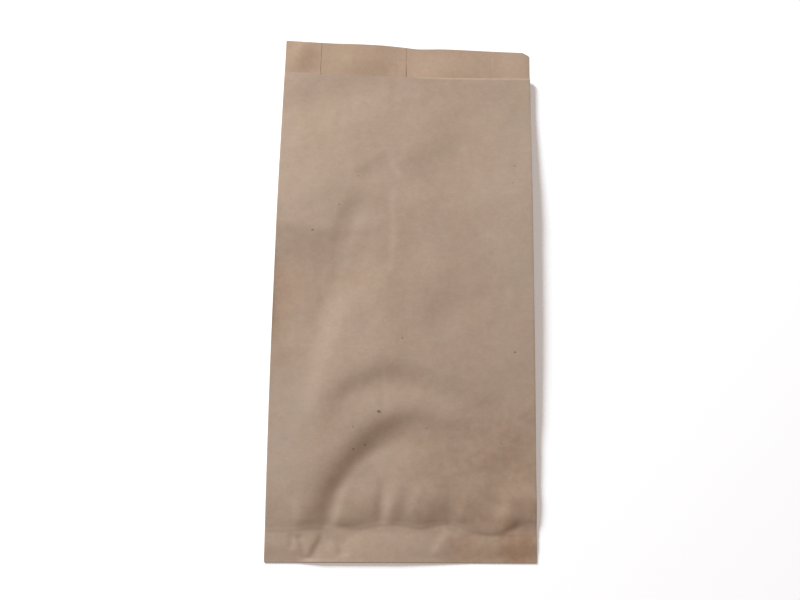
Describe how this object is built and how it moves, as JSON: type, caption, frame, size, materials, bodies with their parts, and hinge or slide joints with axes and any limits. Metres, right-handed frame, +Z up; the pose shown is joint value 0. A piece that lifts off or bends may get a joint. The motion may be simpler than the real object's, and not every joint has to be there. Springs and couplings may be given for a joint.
{
  "type": "gusseted paper bag",
  "caption": "Flat gusseted brown kraft paper bag lying on its back, with a glued back seam, a turned and glued bottom and a stepped open mouth.",
  "frame": {"origin": "middle of the bag's bounding box in X and Y, on the surface it lies on", "axes": "+X across the face to the right of a viewer who looks down on the front panel, +Y from the folded bottom to the open mouth, +Z up out of the front panel"},
  "size_m": [0.2422, 0.488, 0.0078],
  "materials": {
    "kraft_paper": "matt uncoated brown kraft, a little pinker outside than inside"
  },
  "bodies": {
    "root": {"paper_bag": "kraft_paper"}
  },
  "joints": []
}
